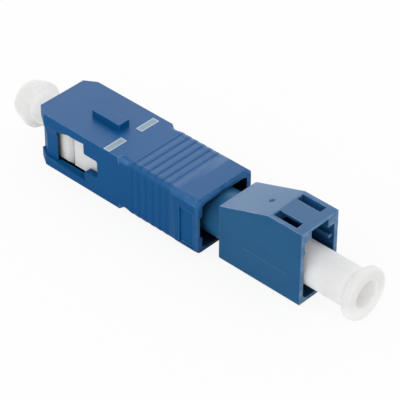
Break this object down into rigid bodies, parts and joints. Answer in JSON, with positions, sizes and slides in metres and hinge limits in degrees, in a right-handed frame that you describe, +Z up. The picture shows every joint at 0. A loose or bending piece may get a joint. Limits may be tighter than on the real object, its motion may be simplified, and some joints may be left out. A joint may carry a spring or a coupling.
{
  "type": "fibre optic adapter",
  "caption": "Hybrid fibre optic adapter with a ribbed push-pull SC plug, a ramped LC socket, a round neck between them and pull-off dust caps.",
  "frame": {"origin": "where the optical axis meets the front plane of the SC housing", "axes": "+X along the optical axis towards the LC socket, +Z up on the side of the SC key and the LC latch slot"},
  "size_m": [0.0536, 0.0094, 0.0101],
  "materials": {
    "sc_housing_plastic": "satin",
    "lc_housing_plastic": "satin",
    "mark_print": "matte",
    "frame_plastic": "satin",
    "cap_plastic": "satin",
    "holder_plastic": "satin",
    "zirconia": "polished",
    "flange_metal": "satin",
    "barrel_metal": "satin",
    "spring_steel": "satin",
    "fibre_buffer": "satin"
  },
  "bodies": {
    "body": {"lc_housing": "lc_housing_plastic", "sc_plug_frame": "frame_plastic", "inner_barrel": "barrel_metal", "fibre_link": "fibre_buffer", "lc_ferrule_flange": "flange_metal", "lc_ferrule": "zirconia", "split_sleeve": "zirconia", "sleeve_holder": "holder_plastic", "ferrule_spring": "spring_steel"},
    "grip": {"sc_outer_housing": "sc_housing_plastic", "index_mark_near": "mark_print", "index_mark_far": "mark_print"},
    "ferrule": {"sc_ferrule": "zirconia", "sc_ferrule_flange": "flange_metal"},
    "sc_cap": {"sc_dust_cap": "cap_plastic"},
    "lc_plug": {"lc_dust_plug": "cap_plastic"}
  },
  "joints": [
    {"name": "grip_slide", "type": "slide", "parent": "body", "child": "grip", "axis": [1, 0, 0], "range_m": [0, 0.0015]},
    {"name": "ferrule_float", "type": "slide", "parent": "body", "child": "ferrule", "axis": [1, 0, 0], "range_m": [0, 0.001], "stiffness_N_per_m": 1000, "deforming": ["ferrule_spring"]},
    {"name": "sc_cap_pull", "type": "slide", "parent": "ferrule", "child": "sc_cap", "axis": [-1, 0, 0], "range_m": [0, 0.01]},
    {"name": "lc_plug_pull", "type": "slide", "parent": "body", "child": "lc_plug", "axis": [1, 0, 0], "range_m": [0, 0.012]}
  ]
}
